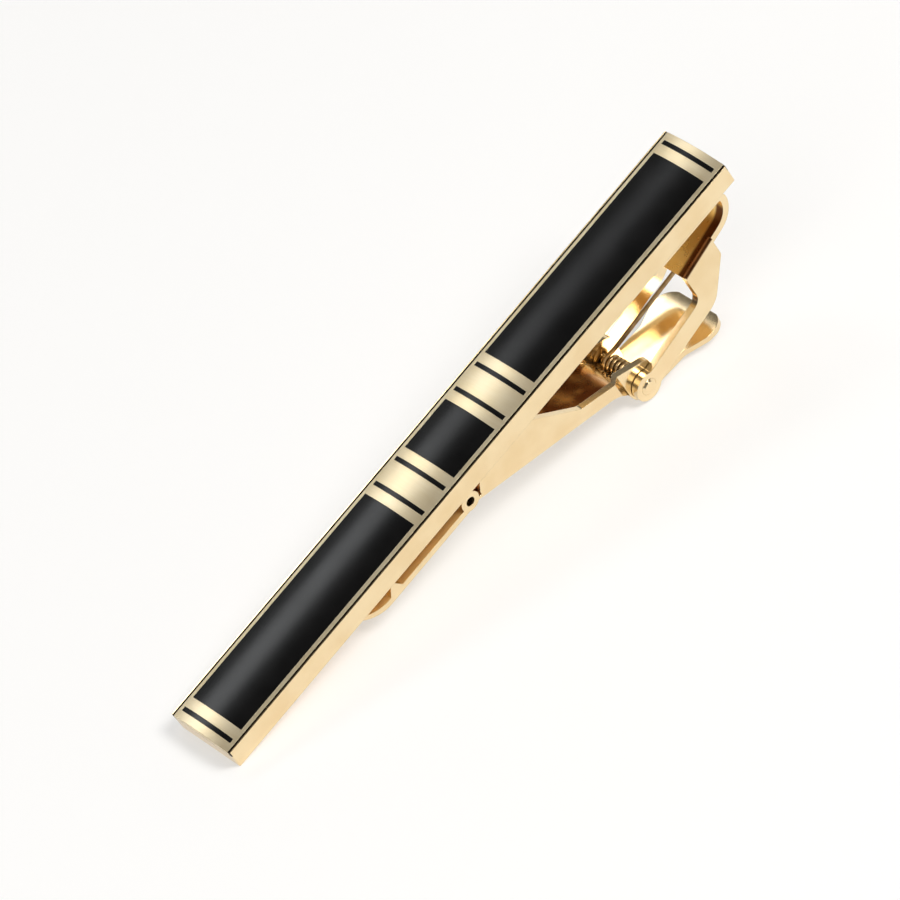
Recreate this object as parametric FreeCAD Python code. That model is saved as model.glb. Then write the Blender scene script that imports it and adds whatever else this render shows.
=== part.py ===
"""A sprung tie clip: an enamelled bar with a hinged jaw on its back.

Millimetres. +X runs along the bar towards the hinge end, +Y across it, +Z out of its front.
The origin is the centre of the bar's back face, where the tie is gripped.
"""
import math
import os

import FreeCAD
import Part

# Bar
bar_length = 58.0
bar_width = 6.6
wall_height = 1.95
tray_depth = 0.5
rim_thickness = 0.12
bar_corner = 0.12

# Front plate
rim_gap = 0.13
crown_rise = 0.3

# Enamel on the front plate
enamel_depth = 0.25
long_margin = 0.32
end_border = 0.67
pinstripe_width = 0.38
fine_gap = 0.9
wide_gap = 2.07
centre_enamel_length = 4.78

# Hinge
pivot_inset = 14.9
pivot_drop = 8.75
pin_radius = 0.4
pin_clearance = 0.05
rivet_overhang = 0.32
rivet_height = 0.18

# Base bracket
bracket_inset = 0.3
bracket_sheet = 0.6
foot_length = 8.0
end_setback = 1.2
foot_bend = 0.5
hook_radius = 2.05
floor_slope = 13.0
floor_inset = 7.6
ear_length = 3.5
ear_drop = 1.9
ear_corner = 0.65
ear_fillet = 0.9
fold_radius = 0.45
heel_reach = 1.0
heel_radius = 2.0
leg_width = 1.75
leg_rise = 9.0
lobe_wall = 0.85

# Jaw lever
lever_sheet = 0.55
side_clearance = 0.06
jaw_inset = 0.3
tongue_length = 12.55
tip_flat = 0.12
tongue_gap = 1.22
bead_reach = 16.65
bead_radius = 0.87
bead_bore = 0.4
jaw_over_pin = 1.205
shoulder_radius = 3.0
lever_fold = 0.4
ridge_inset = 3.85
ridge_base = 1.35
ridge_round = 0.09
ridge_clearance = 0.04
flange_clearance = 0.2
bead_to_flange = 1.05
flange_lean = 0.5
crest_length = 5.95
crest_round = 0.8
notch_reach = 5.45
notch_rise = 4.65
notch_fillet = 0.8
cheek_rise = 3.35
cheek_wall = 1.05
cheek_round = 1.0
neck_clearance = 0.2
joggle_length = 0.7
thumb_reach = 8.15
thumb_inset = 0.2
thumb_slope = 5.5
thumb_curl = 10.0
thumb_curl_radius = 12.0
thumb_corner = 1.6
thumb_pad = 2.15
flare_length = 2.0
flare_round = 1.0

# Torsion spring
wire_diameter = 0.36
coil_clearance = 0.05
coil_gap = 0.44
coil_end_gap = 0.2
thumb_leg = 4.6
floor_leg_end_y = -1.2
floor_leg_straight = 0.55
leg_gap = 0.05
spring_step = 90.0

# Levels and places that follow from the sizes above
plate_bottom = wall_height - tray_depth
crown_top = wall_height + crown_rise
half_width = bar_width / 2
half_length = bar_length / 2
plate_half = half_width - rim_thickness - rim_gap
crown_radius = (plate_half**2 + crown_rise**2) / (2 * crown_rise)
enamel_half_width = plate_half - long_margin
pivot_x = half_length - pivot_inset
pivot_z = -pivot_drop
rivet_radius = pin_radius + rivet_overhang
lobe_radius = pin_radius + lobe_wall
bracket_width = bar_width - 2 * bracket_inset
floor_end_x = half_length - floor_inset
coil_radius = pin_radius + coil_clearance + wire_diameter / 2
coil_outside = coil_radius + wire_diameter / 2
web_radius = coil_outside + coil_clearance
ear_inside = bracket_width / 2 - bracket_sheet
cheek_outside = ear_inside - side_clearance
cheek_inside = cheek_outside - lever_sheet
cheek_radius = pin_radius + pin_clearance + cheek_wall
jaw_half = half_width - jaw_inset
thumb_half = half_width - thumb_inset
tip_x = pivot_x - bead_reach - tongue_length
neck_x = pivot_x - lobe_radius - neck_clearance - joggle_length
flange_x = pivot_x - bead_reach + bead_to_flange
coil_pitch = wire_diameter + coil_gap
deep = -2 * pivot_drop
straight_enough = 1e-7


def side(x, z, y=0.0):
    """A point of a side view."""
    return FreeCAD.Vector(x, y, z)


def plan(x, y, z=0.0):
    """A point of a view from above."""
    return FreeCAD.Vector(x, y, z)


def line(first, last):
    return Part.LineSegment(first, last).toShape()


def arc(first, middle, last):
    return Part.Arc(first, middle, last).toShape()


def face_of(edges):
    return Part.Face(Part.Wire(Part.__sortEdges__(edges)))


def heading_vector(degrees):
    return math.cos(math.radians(degrees)), math.sin(math.radians(degrees))


def rounded_face(corners, place):
    """A flat face from corners (u, v, radius), each rounded by its radius."""
    stops = []
    for index, (u, v, radius) in enumerate(corners):
        corner = FreeCAD.Vector(u, v, 0)
        before = FreeCAD.Vector(*corners[index - 1][:2], 0) - corner
        after = FreeCAD.Vector(*corners[(index + 1) % len(corners)][:2], 0) - corner
        before.normalize()
        after.normalize()
        half_angle = before.getAngle(after) / 2
        reach = radius / math.tan(half_angle)
        bisector = before + after
        bisector.normalize()
        middle = corner + bisector * (radius / math.sin(half_angle) - radius)
        stops.append((corner + before * reach, middle, corner + after * reach, radius))
    edges = []
    for index, (first, middle, last, radius) in enumerate(stops):
        if radius > 0:
            edges.append(arc(place(*first[:2]), place(*middle[:2]), place(*last[:2])))
        following = stops[(index + 1) % len(stops)][0]
        edges.append(line(place(*last[:2]), place(*following[:2])))
    return face_of(edges)


def across(face, half):
    """A side-view face swept from -half to +half in Y."""
    moved = face.copy()
    moved.translate(FreeCAD.Vector(0, -half, 0))
    return moved.extrude(FreeCAD.Vector(0, 2 * half, 0))


def mirrored(shape):
    """The same shape on the other side of the bar's middle."""
    return shape.mirror(FreeCAD.Vector(), FreeCAD.Vector(0, 1, 0))


def between(face, inner, outer):
    """A side-view face swept from inner to outer in Y, and its mirror image."""
    moved = face.copy()
    moved.translate(FreeCAD.Vector(0, inner, 0))
    wall = moved.extrude(FreeCAD.Vector(0, outer - inner, 0))
    return [wall, mirrored(wall)]


def upright(face, low, high):
    """A plan face swept from low to high in Z."""
    moved = face.copy()
    moved.translate(FreeCAD.Vector(0, 0, low))
    return moved.extrude(FreeCAD.Vector(0, 0, high - low))


def rod_across(x, z, radius, half):
    return Part.makeCylinder(radius, 2 * half, side(x, z, -half), FreeCAD.Vector(0, 1, 0))


def run(length):
    return length, 0.0


def bend(radius, turn):
    return radius, turn


def trace(start, heading, moves, offset):
    """Edges along a strip's path in side view, offset to its left, and where the path ends."""
    x, z = start
    edges = []
    for size, turn in moves:
        ahead = heading_vector(heading)
        left = heading_vector(heading + 90)
        if turn == 0:
            goal = (x + size * ahead[0], z + size * ahead[1])
            first = side(x + left[0] * offset, z + left[1] * offset)
            last = side(goal[0] + left[0] * offset, goal[1] + left[1] * offset)
            edges.append(line(first, last))
            x, z = goal
            continue
        sign = math.copysign(1, turn)
        centre = (x + sign * left[0] * size, z + sign * left[1] * size)
        points = []
        for share in (0, 0.5, 1):
            out = heading_vector(heading + share * turn + 90)
            reach = sign * (size - sign * offset)
            points.append(side(centre[0] - out[0] * reach, centre[1] - out[1] * reach))
        edges.append(arc(*points))
        heading += turn
        out = heading_vector(heading + 90)
        x, z = centre[0] - sign * out[0] * size, centre[1] - sign * out[1] * size
    return edges, (x, z), heading


def strip_face(start, heading, moves, sheet):
    """A bent strip of even thickness, in side view."""
    left = trace(start, heading, moves, sheet / 2)[0]
    right = trace(start, heading, moves, -sheet / 2)[0]
    caps = []
    for edges, end in ((0, 0), (-1, -1)):
        caps.append(line(left[edges].Vertexes[end].Point, right[edges].Vertexes[end].Point))
    return face_of(left + right + caps)


def joined(first, *others):
    return first.multiFuse(list(others)).removeSplitter()


def save(shape, node):
    solid, = shape.Solids
    assert solid.isValid(), node
    print(node, round(solid.Volume, 3), "mm3")
    solid.exportStep(f"parts/{node}.step")


def bar_block(low, high):
    """A block of the bar's outline with its corners rounded, between two levels."""
    corners = []
    for x, y in ((-1, -1), (1, -1), (1, 1), (-1, 1)):
        corners.append((x * half_length, y * half_width, bar_corner))
    return upright(rounded_face(corners, plan), low, high)


def make_bar_body():
    """The backing bar: a shallow tray, open at both ends, with a thin rim along each long side."""
    room = bar_width - 2 * rim_thickness
    tray = Part.makeBox(bar_length, room, tray_depth, side(-half_length, plate_bottom, -room / 2))
    return bar_block(0, wall_height).cut(tray)


def make_plate_blank():
    """The crowned front plate in the tray, before its recesses are cut."""
    low_left = FreeCAD.Vector(-half_length, -plate_half, plate_bottom)
    low_right = FreeCAD.Vector(-half_length, plate_half, plate_bottom)
    left = FreeCAD.Vector(-half_length, -plate_half, wall_height)
    right = FreeCAD.Vector(-half_length, plate_half, wall_height)
    top = FreeCAD.Vector(-half_length, 0, crown_top)
    edges = [line(low_left, low_right), line(low_right, right), arc(right, top, left), line(left, low_left)]
    return face_of(edges).extrude(FreeCAD.Vector(bar_length, 0, 0))


def enamel_spans():
    """Where the enamel fields and lines lie along the bar, by node name."""
    centre_end = centre_enamel_length / 2
    inner_line = centre_end + fine_gap
    outer_line = inner_line + pinstripe_width + wide_gap
    field_start = outer_line + pinstripe_width + fine_gap
    end_line = half_length - end_border - pinstripe_width
    spans = {"enamel_centre": (-centre_end, centre_end)}
    for name, sign in (("tip", -1), ("hinge", 1)):
        starts = {"inner_line": inner_line, "outer_line": outer_line, "end_line": end_line}
        for place, start in starts.items():
            ends = sorted((sign * start, sign * (start + pinstripe_width)))
            spans[f"enamel_{place}_{name}"] = tuple(ends)
        field = sorted((sign * field_start, sign * (end_line - fine_gap)))
        spans[f"enamel_field_{name}"] = tuple(field)
    return spans


def make_enamel(blank, span):
    """One enamel fill: a slice of the crown, down to its recess floor."""
    room = Part.makeBox(span[1] - span[0], 2 * enamel_half_width, crown_top,
                        FreeCAD.Vector(span[0], -enamel_half_width, plate_bottom))
    axis_z = crown_top - crown_radius
    floor = Part.makeCylinder(crown_radius - enamel_depth, bar_length,
                              FreeCAD.Vector(-half_length, 0, axis_z), FreeCAD.Vector(1, 0, 0))
    return blank.common(room).cut(floor)


def hook_path():
    """The bracket's middle line up to its floor: start, moves, where they end and the heading."""
    start = (half_length - end_setback - bracket_sheet / 2 - foot_length, -bracket_sheet / 2)
    moves = [run(foot_length - foot_bend), bend(foot_bend, -90), bend(hook_radius, floor_slope - 90)]
    return start, moves, *trace(start, 0, moves, 0)[1:]


def floor_level(x, above):
    """The height at x of a line that lies above the middle of the bracket's floor."""
    hook_end, heading = hook_path()[2:]
    ahead = heading_vector(heading)
    return hook_end[1] + (x - hook_end[0]) * ahead[1] / ahead[0] - above / ahead[0]


def fold_corner():
    """What the round fold between the floor and its near ear takes off the corner there."""
    ahead = heading_vector(floor_slope)
    down = FreeCAD.Vector(ahead[1], 0, -ahead[0]) * fold_radius
    inward = FreeCAD.Vector(0, fold_radius, 0)
    corner = side(floor_end_x, floor_level(floor_end_x, bracket_sheet / 2), -bracket_width / 2)
    middle = corner + (down + inward) * (1 - math.sqrt(0.5))
    edges = [line(corner, corner + inward), arc(corner + inward, middle, corner + down),
             line(corner + down, corner)]
    return face_of(edges).extrude(FreeCAD.Vector(ear_length, 0, ear_length * ahead[1] / ahead[0]))


def make_bracket():
    """The hooked bracket: a foot on the bar, a round bend and a floor with two legs."""
    start, moves, hook_end, heading = hook_path()
    floor_run = (floor_end_x - hook_end[0]) / heading_vector(heading)[0]
    strip = across(strip_face(start, 0, moves + [run(floor_run)], bracket_sheet), bracket_width / 2)
    rise = heading_vector(leg_rise)

    def leg_point(x, sign):
        return x, pivot_z + (x - pivot_x) * rise[1] / rise[0] + sign * leg_width / 2 / rise[0]

    ear_back = floor_end_x + ear_length
    ear = rounded_face([
        (ear_back, floor_level(ear_back, 0), 0),
        (ear_back, floor_level(ear_back, 0) - ear_drop, ear_corner),
        (*leg_point(floor_end_x + heel_reach, -1), heel_radius),
        (*leg_point(pivot_x, -1), 0),
        (*leg_point(pivot_x, 1), 0),
        (*leg_point(floor_end_x, 1), ear_fillet),
        (floor_end_x, floor_level(floor_end_x, 0), 0),
    ], side)
    lobe = Part.Face(Part.Wire(Part.makeCircle(lobe_radius, side(pivot_x, pivot_z), side(0, 0, 1))))
    ears = between(ear, ear_inside, bracket_width / 2) + between(lobe, ear_inside, bracket_width / 2)
    corner = fold_corner()
    body = joined(strip, *ears).cut(corner).cut(mirrored(corner))
    return body.cut(rod_across(pivot_x, pivot_z, pin_radius, bracket_width))


def make_pin():
    """The hinge pin, riveted over on the outside of both legs."""
    shaft = rod_across(pivot_x, pivot_z, pin_radius, bracket_width / 2)
    seat = side(pivot_x, pivot_z, bracket_width / 2)
    head = Part.makeCone(rivet_radius, rivet_radius - rivet_height, rivet_height, seat, side(0, 0, 1))
    return joined(shaft, head, mirrored(head))


def lever_path():
    """The jaw lever's middle line from its tip to the thumb end: start point and moves."""
    start = (tip_x, -tongue_gap - lever_sheet / 2)
    away = (bead_reach, pivot_z - start[1] + bead_radius)
    lean = math.asin((bead_radius - jaw_over_pin) / math.hypot(*away))
    jaw_slope = math.degrees(lean - math.atan2(away[1], away[0]))
    ahead = heading_vector(-jaw_slope)
    moves = [run(tongue_length), bend(bead_radius, -jaw_slope)]
    bend_end = trace(start, 0, moves, 0)[1]
    to_pin = (pivot_x - bend_end[0]) * ahead[0] + (pivot_z - bend_end[1]) * ahead[1]
    wrap_radius = web_radius + lever_sheet / 2
    reach = math.sqrt((shoulder_radius + wrap_radius) ** 2 - (jaw_over_pin - shoulder_radius) ** 2)
    dive = 90 - math.degrees(math.atan2(shoulder_radius - jaw_over_pin, reach))
    thumb_run = thumb_reach - thumb_curl_radius * math.radians(thumb_curl)
    moves += [run(to_pin - reach), bend(shoulder_radius, -dive)]
    moves += [bend(wrap_radius, jaw_slope + dive - thumb_slope), run(thumb_run)]
    return start, moves + [bend(thumb_curl_radius, -thumb_curl)]


def lever_plan():
    """The room under the bar that the lever's outline in plan takes up."""
    thumb_x = pivot_x + thumb_reach
    flare_end = thumb_x - thumb_pad
    outline = [
        (tip_x, -jaw_half, jaw_half - tip_flat / 2),
        (neck_x, -jaw_half, 0),
        (neck_x + joggle_length, -cheek_outside, 0),
        (flare_end - flare_length, -cheek_outside, flare_round),
        (flare_end, -thumb_half, flare_round),
        (thumb_x, -thumb_half, thumb_corner),
    ]
    outline += [(x, -y, radius) for x, y, radius in reversed(outline)]
    return upright(rounded_face(outline, plan), deep, 0)


def make_flange(start, moves):
    """The lever's folded-up flange on one side, from the jaw to the cheek on the pin."""
    cheek_end = pivot_x + cheek_radius
    crest_x = flange_x + flange_lean
    bends = moves[:5] + [run(cheek_end - pivot_x)]
    edges, end = trace(start, 0, bends, 0)[:2]
    first = edges[0].Vertexes[0].Point
    above_sheet = face_of(edges + [
        line(first, side(first.x, 0)),
        line(side(first.x, 0), side(end[0], 0)),
        line(side(end[0], 0), side(*end)),
    ])
    rim = rounded_face([
        (flange_x, deep, 0),
        (flange_x, -tongue_gap, 0),
        (crest_x, -flange_clearance, 0),
        (crest_x + crest_length, -flange_clearance, crest_round),
        (pivot_x - notch_reach, pivot_z + notch_rise, notch_fillet),
        (neck_x, pivot_z + cheek_rise, 0),
        (cheek_end, pivot_z + cheek_radius, cheek_round),
        (cheek_end, deep, 0),
    ], side)
    wall_plan = rounded_face([
        (flange_x, jaw_half - lever_sheet, 0),
        (neck_x, jaw_half - lever_sheet, 0),
        (neck_x + joggle_length, cheek_inside, 0),
        (cheek_end, cheek_inside, 0),
        (cheek_end, cheek_outside, 0),
        (neck_x + joggle_length, cheek_outside, 0),
        (neck_x, jaw_half, 0),
        (flange_x, jaw_half, 0),
    ], plan)
    return upright(wall_plan, deep, 0).common(across(above_sheet.common(rim), half_width))


def round_folds(body, start, moves):
    """The lever with the outside of its long folds rounded, where the jaw turns up into its flanges."""
    sloping_run = trace(start, 0, moves, -lever_sheet / 2)[0][2]
    middle = sloping_run.CenterOfMass
    folds = []
    for y in (-jaw_half, jaw_half):
        spot = Part.Vertex(side(middle.x, middle.z, y))
        folds.append(min(body.Edges, key=lambda edge: edge.distToShape(spot)[0]))
    return body.makeFillet(lever_fold, folds)


def make_lever():
    """The jaw lever: tongue, flanged jaw, cheeks round the pin and thumb plate, in one sheet."""
    start, moves = lever_path()
    room = lever_plan()
    web = across(strip_face(start, 0, moves, lever_sheet), half_width).common(room)
    flange = make_flange(start, moves)
    bead_x = pivot_x - bead_reach
    bead_z = -tongue_gap - lever_sheet - lever_sheet / 4 + bead_radius
    bead = rod_across(bead_x, bead_z, bead_radius, jaw_half)
    ridge_x = tip_x + ridge_inset
    ridge_foot = -tongue_gap - lever_sheet / 2
    flank = math.hypot(ridge_base / 2, tongue_gap)
    ridge_apex = ridge_round * (flank / (ridge_base / 2) - 1) - ridge_clearance
    ridge = across(rounded_face([
        (ridge_x - ridge_base / 2, ridge_foot, 0),
        (ridge_x + ridge_base / 2, ridge_foot, 0),
        (ridge_x + ridge_base / 2, -tongue_gap, 0),
        (ridge_x, ridge_apex, ridge_round),
        (ridge_x - ridge_base / 2, -tongue_gap, 0),
    ], side), jaw_half).common(room)
    body = round_folds(joined(web, flange, mirrored(flange), bead, ridge), start, moves)
    body = body.cut(rod_across(bead_x, bead_z, bead_bore, half_width))
    return body.cut(rod_across(pivot_x, pivot_z, pin_radius + pin_clearance, half_width))


def tangent_arc(start, way, goal):
    """The arc that leaves start along way and ends at goal, or a line if they are in line."""
    chord = goal - start
    along = FreeCAD.Vector(chord)
    along.normalize()
    off = way - along * way.dot(along)
    if off.Length < straight_enough:
        return line(start, goal)
    angle = way.getAngle(along)
    off.normalize()
    middle = start + chord * 0.5 + off * (chord.Length / 2 * math.tan(angle / 2))
    return arc(start, middle, goal)


def biarc(first, first_way, last, last_way):
    """Two tangent arcs from one point and direction to another."""
    chord = last - first
    ways = first_way + last_way
    spread = 2 * (1 - first_way.dot(last_way))
    root = math.sqrt(chord.dot(ways) ** 2 + spread * chord.dot(chord))
    step = chord.dot(chord) / (root + chord.dot(ways))
    meet = (first + last + (first_way - last_way) * step) * 0.5
    return [tangent_arc(first, first_way, meet), tangent_arc(last, last_way * -1, meet)]


def make_spring():
    """The torsion spring: a leg on the thumb plate, the coil on the pin and a leg under the floor."""
    seat_x = floor_end_x + bracket_sheet
    seat_z = floor_level(seat_x, -bracket_sheet / 2 - leg_gap - wire_diameter / 2)
    seat = side(seat_x, seat_z, floor_leg_end_y)
    leave = math.degrees(math.atan2(seat_z - pivot_z, seat_x - pivot_x))
    room = 2 * (cheek_inside - coil_end_gap) - wire_diameter
    whole_turns = int(room / coil_pitch - (180 - leave) / 360)
    sweep = 360 * whole_turns + 180 - leave
    length = coil_pitch * sweep / 360

    def coil_stop(angle):
        """A point of the coil and the way the wire runs there."""
        out, up = heading_vector(-90 - angle)
        point = side(pivot_x + coil_radius * out, pivot_z + coil_radius * up, length * (angle / sweep - 0.5))
        way = side(up, -out, coil_pitch / (2 * math.pi * coil_radius))
        way.normalize()
        return point, way

    entry, leaving = coil_stop(0)[0], coil_stop(sweep)[0]
    thumb_way = side(*heading_vector(180 - thumb_slope))
    thumb_end = entry - thumb_way * thumb_leg
    thumb_stop = entry - thumb_way * (thumb_leg / 2)
    floor_way = seat - leaving
    floor_way.normalize()
    floor_stop = seat - floor_way * ((seat - leaving).Length * floor_leg_straight)
    count = math.ceil(sweep / spring_step)
    stops = [(thumb_stop, thumb_way)]
    stops += [coil_stop(sweep * index / count) for index in range(count + 1)]
    stops.append((floor_stop, floor_way))
    edges = [line(thumb_end, thumb_stop)]
    for (first, first_way), (last, last_way) in zip(stops, stops[1:]):
        edges += biarc(first, first_way, last, last_way)
    edges.append(line(floor_stop, seat))
    path = Part.Wire(Part.__sortEdges__(edges))
    section = Part.Wire(Part.makeCircle(wire_diameter / 2, thumb_end, thumb_way))
    tube = path.makePipeShell([section], True, False)
    even = tube.Volume / (math.pi * wire_diameter**2 / 4 * path.Length)
    print("spring gap to itself", round(least_gap(path), 3), "mm")
    print("spring volume to section times length", round(even, 4))
    return tube


def least_gap(path):
    """The least clear distance between stretches of the spring more than half a turn apart."""
    points = path.discretize(Distance=wire_diameter / 4)
    skip = int(math.pi * coil_radius / path.Length * len(points))
    least = min((first - last).Length
                for index, first in enumerate(points) for last in points[index + skip:])
    return least - wire_diameter


def main():
    os.makedirs("parts", exist_ok=True)
    save(make_bar_body(), "bar_body")
    blank = make_plate_blank()
    fills = {name: make_enamel(blank, span) for name, span in enamel_spans().items()}
    save(blank.cut(Part.makeCompound(list(fills.values()))), "front_plate")
    for name, fill in fills.items():
        save(fill, name)
    save(make_bracket(), "base_bracket")
    save(make_pin(), "hinge_pin")
    save(make_lever(), "jaw_lever")
    save(make_spring(), "torsion_spring")


main()
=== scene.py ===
"""A sprung tie clip on a pale table: black enamel in satin gold, a polished jaw and its coiled spring.

Metres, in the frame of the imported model: +X along the bar towards the hinge, +Z out of its front.
"""
import math

import bpy
from mathutils import Matrix, Vector


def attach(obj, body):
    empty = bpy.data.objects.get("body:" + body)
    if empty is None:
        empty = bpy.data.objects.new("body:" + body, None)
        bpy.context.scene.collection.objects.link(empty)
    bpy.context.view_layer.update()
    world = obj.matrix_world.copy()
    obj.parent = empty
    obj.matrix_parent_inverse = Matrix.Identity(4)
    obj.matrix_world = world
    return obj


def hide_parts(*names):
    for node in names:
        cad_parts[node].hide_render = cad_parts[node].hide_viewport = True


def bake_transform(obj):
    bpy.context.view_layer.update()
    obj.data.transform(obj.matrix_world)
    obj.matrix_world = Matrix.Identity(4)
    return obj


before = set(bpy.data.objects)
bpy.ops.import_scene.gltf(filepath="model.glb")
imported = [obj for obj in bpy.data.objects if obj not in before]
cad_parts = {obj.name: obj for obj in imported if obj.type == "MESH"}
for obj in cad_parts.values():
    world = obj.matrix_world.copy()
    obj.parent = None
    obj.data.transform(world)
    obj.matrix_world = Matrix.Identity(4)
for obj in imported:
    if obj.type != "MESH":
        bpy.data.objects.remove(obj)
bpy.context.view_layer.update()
mm = 0.001

# Hinge and spring: where the pin, the thumb plate and the bracket's floor are, and a close-wound coil
pivot = Vector((14.1, 0, -8.75)) * mm
coil_radius = 0.63 * mm
coil_pitch = 0.4255 * mm
coil_turns = 6
turn_points = 40
wire_radius = 0.18 * mm
wire_sides = 16
wire_end_ease = 0.3
thumb_slope = math.radians(5.5)
thumb_leg = 4.6 * mm
floor_seat = Vector((22.0, -1.2, -4.2444)) * mm
floor_leg_straight = 0.85
bend_points = 14
leg_points = 8

# How the clip lies on the table: on the tip end of its bar and on the bend under its pin
rest_edge = Vector((-29, 0, 0)) * mm
rest_slope = math.radians(13.31)
table_gap = 0.02 * mm
table_size = 2.0

# The table's look
table_shades = ((0.98, 0.975, 0.965, 1), (0.988, 0.983, 0.973, 1))
table_grain = 4 * mm
table_roughness = 0.6
table_glow = 0.45

# Eased edges of the stampings
edge_ease = 0.05 * mm
edge_samples = 6

# Parts of a cloudy value's range over which one shade turns into the other
wide_range = (0.3, 0.7)
narrow_range = (0.35, 0.65)

# Polished gold: cloudiness, haze and waves of the sheet, and hairline marks that show in patches
gold_shades = ((0.84, 0.65, 0.38, 1), (0.89, 0.72, 0.45, 1))
gold_cloud = 3.2 * mm
gold_haze = 0.5 * mm
gold_wave = 1.7 * mm
gold_roughness = 0.13
gold_relief = 0.35e-6
hairline = 0.05 * mm
along_stretch = (0.05, 1, 1)
along_range = (0.64, 0.74)
along_patches = (0.45, 0.6)
slanted_stretch = (1, 0.05, 0.6)
slanted_range = (0.66, 0.76)
slanted_patches = (0.48, 0.62)

# Satin gold: cloudiness, and brushing across the bar in two sizes
satin_shades = ((0.87, 0.71, 0.44, 1), (0.93, 0.80, 0.56, 1))
satin_cloud = 2.6 * mm
brush_line = 0.05 * mm
brush_stretch = (1, 0.03, 0.03)
fine_line = 0.018 * mm
fine_stretch = (1, 0.02, 0.02)
satin_roughness = 0.3
satin_relief = 3.0e-6

# Black enamel: cloudiness, orange peel and specks
enamel_shades = ((0.0008, 0.0007, 0.0007, 1), (0.0024, 0.0022, 0.0022, 1))
enamel_cloud = 2.2 * mm
enamel_peel = 0.55 * mm
enamel_speck = 0.06 * mm
speck_range = (0.74, 0.8)
enamel_index = 1.34
enamel_roughness = 0.2
enamel_relief = 1.2e-6

# Spring wire: cloudiness and drawing lines
wire_shades = ((0.34, 0.23, 0.11, 1), (0.50, 0.36, 0.19, 1))
wire_cloud = 0.5 * mm
drawing_line = 0.03 * mm
drawing_stretch = (0.2, 1, 1)
wire_roughness = 0.2
wire_relief = 0.8e-6

# The hollows of the jaw and the hook, where shade and warm reflected light are painted into the plating's
# colour, and the plating is a little rougher
hollow_edge = 0.03 * mm
hollow_fade = 1.0 * mm
hollow_rougher = 0.1
# Inside the jaw's channel: painted shade, with painted warm reflections in its lighter shade
jaw_hollow_start = -2.5 * mm
jaw_hollow_end = 12.6 * mm
jaw_hollow_half = 2.47 * mm
jaw_facing = (-0.4, -0.2)
painted_jaw_shade = ((0.24, 0.065, 0.011, 1), (0.86, 0.36, 0.08, 1))
# On the bracket's floor and round its hook: painted warm reflected light and shade
hook_floor_start = 20.5 * mm
hook_floor_half = 2.45 * mm
hook_floor_facing = (0.2, 0.5)
hook_turn_start = 23.5 * mm
hook_turn_facing = (-0.5, -0.2)
painted_hook_reflection = ((0.82, 0.52, 0.17, 1), (0.92, 0.64, 0.25, 1))
# Along both sides of the bracket's floor: a dark painted shade
hook_side_start = 2.1 * mm
hook_side_end = 2.4 * mm
painted_hook_side_shade = ((0.10, 0.034, 0.010, 1), (0.17, 0.065, 0.020, 1))

# The faces in the slot between bar and tongue, plated but not polished, so rougher; their amber shades are
# painted warm reflected light
tongue_root = -3.0 * mm
tongue_facing = (0.5, 0.7)
bar_back_facing = (-0.7, -0.5)
unpolished_painted_reflection = ((0.90, 0.63, 0.27, 1), (0.95, 0.71, 0.34, 1))
unpolished_rougher = 0.42

# Painted shade down in the seam round the front plate, spread over the rim on the near side only
seam_floor = 1.4 * mm
seam_near = -3.285 * mm
seam_far = 3.185 * mm
seam_edge = 0.01 * mm
plate_half = 3.05 * mm
painted_seam_shade = ((0.042, 0.028, 0.015, 1), (0.048, 0.032, 0.017, 1))

# Camera fitted to the photo's view of the bar
camera_place = Vector((-104.17, -358.76, 457.095)) * mm
camera_right = Vector((0.6353, -0.6705, -0.3831))
camera_up = Vector((0.7520, 0.4242, 0.5046))
lens = 316.34
sensor = 36.0
nearest_seen = 0.01

# The room, from its horizon to its ceiling
room_shades = ((1.0, 0.99, 0.975, 1), (0.14, 0.137, 0.134, 1))
room_heights = (0.02, 0.3)

# Soft boxes: name, way to it from the clip, distance, width, power and colour
cool_white = (0.96, 0.985, 1.0)
warm_white = (1.0, 0.98, 0.95)
soft_boxes = (
    ("back_soft_box", (0.078, 0.676, 0.733), 0.55, 0.13, 0.27, cool_white),
    ("hinge_soft_box", (0.40, 0.60, 0.69), 0.55, 0.12, 0.155, cool_white),
    ("front_soft_box", (0.50, -0.48, 0.72), 0.6, 0.26, 2.55, warm_white),
    ("left_soft_box", (-0.45, -0.35, 0.82), 0.6, 0.5, 1.3, warm_white),
)


class Value:
    """A number that varies over a surface. Arithmetic on it adds Math nodes."""

    def __init__(self, finish, socket):
        self.finish = finish
        self.socket = socket

    def __add__(self, other):
        return self.finish.math("ADD", self, other)

    def __sub__(self, other):
        return self.finish.math("SUBTRACT", self, other)

    def __rsub__(self, other):
        return self.finish.math("SUBTRACT", other, self)

    def __mul__(self, other):
        return self.finish.math("MULTIPLY", self, other)

    def __abs__(self):
        return self.finish.math("ABSOLUTE", self)

    __radd__ = __add__
    __rmul__ = __mul__


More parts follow.
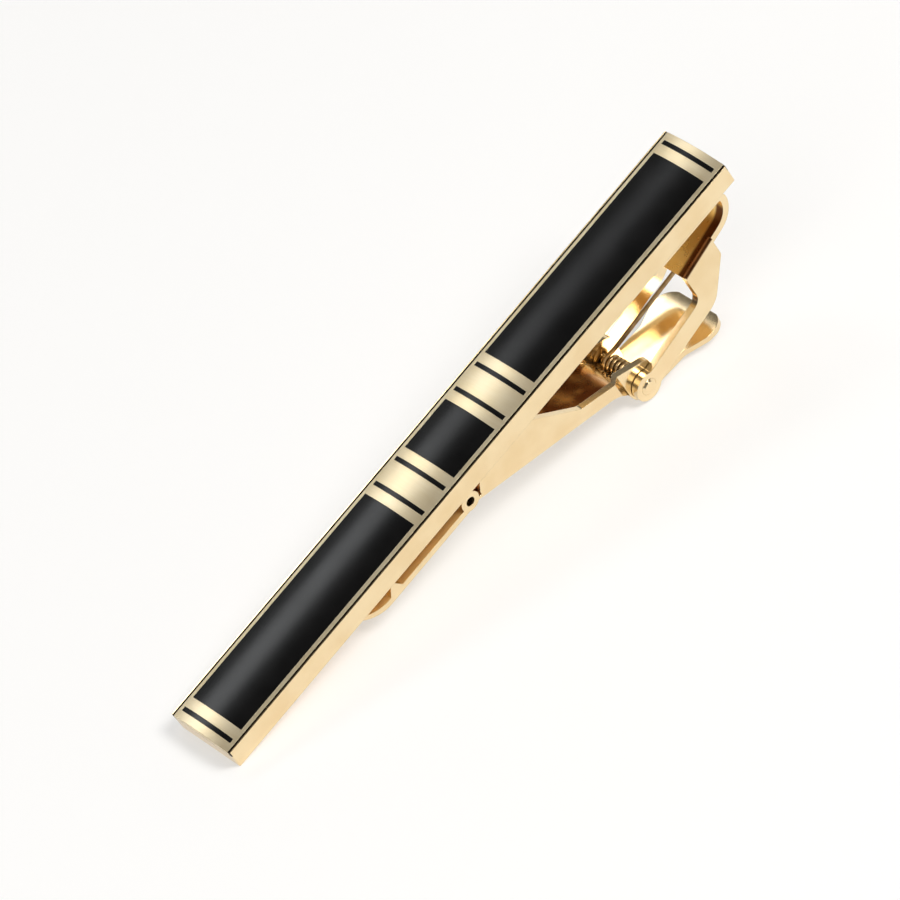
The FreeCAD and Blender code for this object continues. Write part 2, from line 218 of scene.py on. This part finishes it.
class Finish:
    """One node tree and the nodes that make up its look."""

    def __init__(self, tree):
        self.tree = tree

    def node(self, kind, settings=None, inputs=None, output=0):
        """A node of that kind with its settings and its sockets' values or links, as one of its outputs."""
        made = self.tree.nodes.new(kind)
        for name, value in (settings or {}).items():
            setattr(made, name, value)
        self.feed(made, inputs or {})
        return Value(self, made.outputs[output])

    def feed(self, node, inputs):
        for name, value in inputs.items():
            if isinstance(value, Value):
                self.tree.links.new(value.socket, node.inputs[name])
            else:
                node.inputs[name].default_value = value

    def math(self, operation, first, second=0.0):
        return self.node("ShaderNodeMath", {"operation": operation}, {0: first, 1: second})

    def coordinates(self, kind):
        return self.node("ShaderNodeTexCoord", {}, {}, kind)

    def part_of(self, vector, axis):
        return self.node("ShaderNodeSeparateXYZ", {}, {"Vector": vector}, axis)

    def place(self, axis):
        """Where a point of the piece is along an axis of the frame."""
        return self.part_of(self.coordinates("Object"), axis)

    def facing(self, axis):
        """How far the surface faces along an axis, from -1 to 1."""
        return self.part_of(self.coordinates("Normal"), axis)

    def noise(self, size, detail, stretch=(1, 1, 1)):
        """A cloudy value about 0.5, with features of that size in metres, drawn out by stretch."""
        scaled = self.node("ShaderNodeMapping", {}, {"Vector": self.coordinates("Object"), "Scale": stretch})
        return self.node("ShaderNodeTexNoise", {}, {"Vector": scaled, "Scale": 1 / size, "Detail": detail})

    def step(self, value, low, high):
        """0 below low and 1 above high, with a soft change between."""
        return self.node("ShaderNodeMapRange", {"interpolation_type": "SMOOTHSTEP"},
                         {"Value": value, "From Min": low, "From Max": high})

    def blend(self, factor, first, second):
        """One colour turning into another."""
        return self.node("ShaderNodeMix", {"data_type": "RGBA"}, {0: factor, 6: first, 7: second}, 2)

    def bump(self, height, distance):
        """Fine relief on a surface whose sharp edges look eased."""
        edges = self.node("ShaderNodeBevel", {"samples": edge_samples}, {"Radius": edge_ease})
        return self.node("ShaderNodeBump", {}, {"Height": height, "Distance": distance, "Normal": edges})


def new_finish(name):
    """A material, its finish and its shader."""
    material = bpy.data.materials.new(name)
    material.use_nodes = True
    return material, Finish(material.node_tree), material.node_tree.nodes["Principled BSDF"]


def make_polished_gold(name, dull_and_painted_faces=()):
    """Polished gold plating: clear reflections, a faintly wavy sheet and hairline marks.

    Each of the dull and painted faces is a mask, its two shades, which are painted shade and reflected light,
    and how much rougher it is.
    """
    material, finish, shader = new_finish(name)
    cloud = finish.noise(gold_cloud, 3)
    haze = finish.noise(gold_haze, 4)
    wave = finish.noise(gold_wave, 1)
    along = finish.noise(hairline, 3, along_stretch)
    slanted = finish.noise(hairline, 3, slanted_stretch)
    marks = finish.step(along, *along_range) * finish.step(haze, *along_patches)
    marks = marks + finish.step(slanted, *slanted_range) * finish.step(cloud, *slanted_patches)
    colour = finish.blend(finish.step(cloud, *wide_range), *gold_shades)
    roughness = gold_roughness + haze * 0.1 + marks * 0.12
    # Each mask paints shade and reflected light into the gold's colour, and makes it rougher
    for mask, shades, rougher in dull_and_painted_faces:
        dull_and_painted = mask(finish)
        colour = finish.blend(dull_and_painted, colour, finish.blend(finish.step(wave, *wide_range), *shades))
        roughness = roughness + dull_and_painted * rougher
    shader.inputs["Metallic"].default_value = 1.0
    finish.feed(shader, {
        "Base Color": colour,
        "Roughness": roughness,
        "Normal": finish.bump(wave * 9.0 + haze * 0.6 - marks * 0.5, gold_relief),
    })
    return material


def jaw_hollow(finish):
    """1 inside the jaw's channel and on its cheeks' inner sides, where shade is painted, 0 on the outside of
    the sheet.
    """
    along = finish.place("X")
    half = abs(finish.place("Y"))
    inside = finish.step(along, jaw_hollow_start, jaw_hollow_start + hollow_fade)
    inside = inside * (1 - finish.step(along, jaw_hollow_end - hollow_fade, jaw_hollow_end))
    inside = inside * (1 - finish.step(half, jaw_hollow_half - hollow_edge, jaw_hollow_half))
    return inside * finish.step(finish.facing("Z"), *jaw_facing)


def tongue_top(finish):
    """1 on the side of the tongue that faces the bar, which the polishing wheel can't reach; there warm
    reflected light is painted into its colour.
    """
    top = finish.step(finish.facing("Z"), *tongue_facing)
    return top * (1 - finish.step(finish.place("X"), tongue_root - hollow_fade, tongue_root))


def hook_floor(finish):
    """1 on what faces up along the bracket's floor: the floor and the upper edges of the legs beside it."""
    floor = finish.step(finish.facing("Z"), *hook_floor_facing)
    return floor * finish.step(finish.place("X"), hook_floor_start, hook_floor_start + hollow_fade)


def hook_hollow(finish):
    """1 on the bracket's floor and round the inside of its hook, where shade and warm reflected light are
    painted.
    """
    half = abs(finish.place("Y"))
    floor = hook_floor(finish) * (1 - finish.step(half, hook_floor_half - hollow_edge, hook_floor_half))
    turn = 1 - finish.step(finish.facing("X"), *hook_turn_facing)
    turn = turn * finish.step(finish.place("X"), hook_turn_start, hook_turn_start + hollow_fade)
    return floor + turn - floor * turn


def hook_side(finish):
    """1 along both sides of the bracket's floor and on the upper edges of its legs beside it, where a dark
    shade is painted.
    """
    return hook_floor(finish) * finish.step(abs(finish.place("Y")), hook_side_start, hook_side_end)


def seam_gap(finish):
    """1 down in the gap between the bar's rims and its front plate, and over most of the near rim: where
    shade is painted.
    """
    across = finish.place("Y")
    depth = finish.step(finish.place("Z"), seam_floor, seam_floor + seam_edge)
    near = finish.step(across, seam_near - seam_edge, seam_near)
    far = finish.step(across, seam_far, seam_far + seam_edge)
    return depth * near * (1 - far)


def bar_back(finish):
    """1 on the bar's flat back, which is plated but not polished, and where warm reflected light is painted.
    """
    return 1 - finish.step(finish.facing("Z"), *bar_back_facing)


def make_satin_gold():
    """Satin gold plating on the front plate: fine brushing across the bar, and painted shade on its side
    faces in the seam's colour.
    """
    material, finish, shader = new_finish("satin_gold_plating")
    cloud = finish.noise(satin_cloud, 3)
    brush = finish.noise(brush_line, 3, brush_stretch)
    fine = finish.noise(fine_line, 2, fine_stretch)
    tint = finish.step(cloud, *wide_range) * 0.6 + finish.step(brush, *narrow_range) * 0.4
    gold = finish.blend(tint, *satin_shades)
    # Painted shade on the plate's side faces
    side = finish.step(abs(finish.place("Y")), plate_half - seam_edge, plate_half)
    shader.inputs["Metallic"].default_value = 1.0
    finish.feed(shader, {
        "Base Color": finish.blend(side, gold, finish.blend(cloud, *painted_seam_shade)),
        "Roughness": satin_roughness + brush * 0.1 + cloud * 0.05,
        "Normal": finish.bump(brush + fine * 0.5, satin_relief),
    })
    return material


def make_black_enamel():
    """Cold black enamel, cured smooth: a soft sheen, a slight orange peel and a few fine specks."""
    material, finish, shader = new_finish("black_enamel_fill")
    cloud = finish.noise(enamel_cloud, 3)
    peel = finish.noise(enamel_peel, 2)
    speck = finish.step(finish.noise(enamel_speck, 1), *speck_range)
    tint = finish.step(cloud, *wide_range) + speck * 0.5
    shader.inputs["IOR"].default_value = enamel_index
    finish.feed(shader, {
        "Base Color": finish.blend(tint, *enamel_shades),
        "Roughness": enamel_roughness + cloud * 0.05 + speck * 0.15,
        "Normal": finish.bump(peel + speck * 0.4, enamel_relief),
    })
    return material


def make_spring_wire():
    """Drawn and plated spring wire, with fine lines along it."""
    material, finish, shader = new_finish("plated_spring_wire")
    cloud = finish.noise(wire_cloud, 3)
    drawn = finish.noise(drawing_line, 2, drawing_stretch)
    shader.inputs["Metallic"].default_value = 1.0
    finish.feed(shader, {
        "Base Color": finish.blend(finish.step(cloud, *narrow_range), *wire_shades),
        "Roughness": wire_roughness + cloud * 0.12 + drawn * 0.08,
        "Normal": finish.bump(drawn, wire_relief),
    })
    return material


def make_table_top():
    """A pale table that stays white to the eye and in reflections, and keeps the clip's shadow."""
    material, finish, shader = new_finish("pale_table")
    shader.inputs["Roughness"].default_value = table_roughness
    finish.feed(shader, {"Base Color": finish.blend(finish.noise(table_grain, 3), *table_shades)})
    seen = finish.node("ShaderNodeLightPath", {}, {}, "Is Camera Ray")
    for ray in ("Is Glossy Ray", "Is Transmission Ray"):
        seen = seen + finish.node("ShaderNodeLightPath", {}, {}, ray)
    glow = finish.node("ShaderNodeEmission", {}, {"Color": (1, 1, 1, 1), "Strength": 1.0})
    lit = Value(finish, shader.outputs[0])
    mixed = finish.node("ShaderNodeMixShader", {}, {0: seen * table_glow, 1: lit, 2: glow})
    finish.feed(finish.tree.nodes["Material Output"], {"Surface": mixed})
    return material


def new_piece(name, vertices, faces, material):
    mesh = bpy.data.meshes.new(name)
    mesh.from_pydata(vertices, [], faces)
    mesh.materials.append(material)
    mesh.update()
    piece = bpy.data.objects.new(name, mesh)
    bpy.context.scene.collection.objects.link(piece)
    return piece


def bend(first, first_way, last, last_way):
    """Points of a smooth bend between two points, which it leaves and meets along ways, without its ends."""
    reach = (last - first).length
    points = []
    for index in range(1, bend_points):
        u = index / bend_points
        points.append(first * (2 * u**3 - 3 * u**2 + 1) + first_way * (reach * (u**3 - 2 * u**2 + u))
                      + last * (3 * u**2 - 2 * u**3) + last_way * (reach * (u**3 - u**2)))
    return points


def straight(first, last):
    return [first.lerp(last, index / leg_points) for index in range(leg_points + 1)]


def spring_line():
    """Points along the spring: leg on the thumb plate, coil round the pin, leg under the bracket's floor."""
    rise = floor_seat - pivot
    leave = math.atan2(rise.z, rise.x) - math.asin(coil_radius / math.hypot(rise.x, rise.z))
    sweep = 2 * math.pi * coil_turns + math.pi - leave
    length = coil_pitch * sweep / (2 * math.pi)

    def coil_point(angle):
        phi = -math.pi / 2 - angle
        y = length * (angle / sweep - 0.5)
        return pivot + Vector((coil_radius * math.cos(phi), y, coil_radius * math.sin(phi)))

    entry, leaving = coil_point(0), coil_point(sweep)
    small_angle = 0.001
    entry_way = (coil_point(small_angle) - entry).normalized()
    leaving_way = (leaving - coil_point(sweep - small_angle)).normalized()
    thumb_way = Vector((-math.cos(thumb_slope), 0, math.sin(thumb_slope)))
    thumb_end = entry - thumb_way * thumb_leg
    thumb_stop = entry - thumb_way * (thumb_leg / 2)
    floor_stop = floor_seat.lerp(leaving, floor_leg_straight)
    floor_way = (floor_seat - leaving).normalized()
    count = round(turn_points * sweep / (2 * math.pi))
    points = straight(thumb_end, thumb_stop)
    points += bend(thumb_stop, thumb_way, entry, entry_way)
    points += [coil_point(sweep * index / count) for index in range(count + 1)]
    points += bend(leaving, leaving_way, floor_stop, floor_way)
    points += straight(floor_stop, floor_seat)
    return points


def wire(points):
    """Vertices and faces of a round wire along points, its two ends eased and closed."""
    ways = []
    for index in range(len(points)):
        ways.append((points[min(index + 1, len(points) - 1)] - points[max(index - 1, 0)]).normalized())
    ease = wire_radius * wire_end_ease
    end_radius = wire_radius - ease
    stations = [(points[0], ways[0], end_radius)]
    stations.append((points[0] + ways[0] * ease, ways[0], wire_radius))
    stations += [(point, way, wire_radius) for point, way in zip(points[1:-1], ways[1:-1])]
    stations.append((points[-1] - ways[-1] * ease, ways[-1], wire_radius))
    stations.append((points[-1], ways[-1], end_radius))
    out = ways[0].orthogonal()
    vertices = []
    for point, way, radius in stations:
        out = (out - way * out.dot(way)).normalized()
        up = way.cross(out)
        for side in range(wire_sides):
            angle = 2 * math.pi * side / wire_sides
            vertices.append(point + (out * math.cos(angle) + up * math.sin(angle)) * radius)
    faces = []
    for station in range(len(stations) - 1):
        low, high = station * wire_sides, (station + 1) * wire_sides
        for side in range(wire_sides):
            following = (side + 1) % wire_sides
            faces.append((low + side, low + following, high + following, high + side))
    faces.append(tuple(reversed(range(wire_sides))))
    faces.append(tuple(range(len(vertices) - wire_sides, len(vertices))))
    return vertices, faces


def make_spring(material):
    """The spring's wire, in place of the model's spring: a leg on the thumb plate, the coil round the pin and
    a leg under the bracket's floor.
    """
    vertices, faces = wire(spring_line())
    piece = new_piece("spring_coil_and_legs", vertices, faces, material)
    for face in piece.data.polygons:
        face.use_smooth = len(face.vertices) < wire_sides
    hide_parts("torsion_spring")
    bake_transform(piece)


def dress_nodes(finishes, enamel):
    """Gives every carried-over solid its finish. What has none of its own is an enamel fill."""
    for name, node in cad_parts.items():
        node.data.materials.clear()
        node.data.materials.append(finishes.get(name, enamel))


def make_table(material):
    """The table top that the clip lies on. It keeps to the jaw, so that an opened jaw stays above it."""
    half = table_size / 2
    along = Vector((math.cos(rest_slope), 0, -math.sin(rest_slope)))
    across = Vector((0, 1, 0))
    normal = Vector((math.sin(rest_slope), 0, math.cos(rest_slope)))
    centre = rest_edge - normal * table_gap
    signs = ((-1, -1), (1, -1), (1, 1), (-1, 1))
    corners = [centre + along * half * u + across * half * v for u, v in signs]
    table = new_piece("table_top", corners, [(0, 1, 2, 3)], material)
    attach(table, "jaw")


def make_lamp(name, way, distance, width, power, colour):
    """A square soft box that faces the clip from the given way."""
    lamp = bpy.data.lights.new(name, "AREA")
    lamp.shape = "SQUARE"
    lamp.size = width
    lamp.energy = power
    lamp.color = colour
    holder = bpy.data.objects.new(name, lamp)
    direction = Vector(way).normalized()
    holder.location = direction * distance
    holder.rotation_mode = "QUATERNION"
    holder.rotation_quaternion = direction.to_track_quat("Z", "Y")
    bpy.context.scene.collection.objects.link(holder)


def make_room():
    """A pale room: white round the horizon and dimmer overhead."""
    world = bpy.data.worlds.new("studio_room")
    bpy.context.scene.world = world
    world.use_nodes = True
    finish = Finish(world.node_tree)
    height = finish.part_of(finish.coordinates("Generated"), "Z")
    colour = finish.blend(finish.step(height, *room_heights), *room_shades)
    finish.feed(world.node_tree.nodes["Background"], {"Color": colour, "Strength": 1.0})


def make_camera():
    camera = bpy.data.cameras.new("photo_camera")
    camera.lens = lens
    camera.sensor_width = sensor
    camera.clip_start = nearest_seen
    holder = bpy.data.objects.new("photo_camera", camera)
    back = camera_right.cross(camera_up)
    turn = Matrix((camera_right, camera_up, back)).transposed().to_4x4()
    holder.matrix_world = Matrix.Translation(camera_place) @ turn
    bpy.context.scene.collection.objects.link(holder)
    bpy.context.scene.camera = holder


# Faces of each piece where shade and reflected light are painted, and the plating is rougher
dull_and_painted_bar_faces = (
    (seam_gap, painted_seam_shade, hollow_rougher),
    (bar_back, unpolished_painted_reflection, unpolished_rougher),
)
dull_and_painted_bracket_faces = (
    (hook_hollow, painted_hook_reflection, hollow_rougher),
    (hook_side, painted_hook_side_shade, hollow_rougher),
)
dull_and_painted_jaw_faces = (
    (jaw_hollow, painted_jaw_shade, hollow_rougher),
    (tongue_top, unpolished_painted_reflection, unpolished_rougher),
)
spring_wire = make_spring_wire()
dress_nodes({
    "bar_body": make_polished_gold("polished_gold_bar", dull_and_painted_bar_faces),
    "front_plate": make_satin_gold(),
    "base_bracket": make_polished_gold("polished_gold_bracket", dull_and_painted_bracket_faces),
    "hinge_pin": make_polished_gold("polished_gold_pin"),
    "jaw_lever": make_polished_gold("polished_gold_jaw", dull_and_painted_jaw_faces),
    "torsion_spring": spring_wire,
}, make_black_enamel())
make_spring(spring_wire)
make_table(make_table_top())
make_room()
for soft_box in soft_boxes:
    make_lamp(*soft_box)
make_camera()
bpy.context.scene.view_settings.view_transform = "Standard"
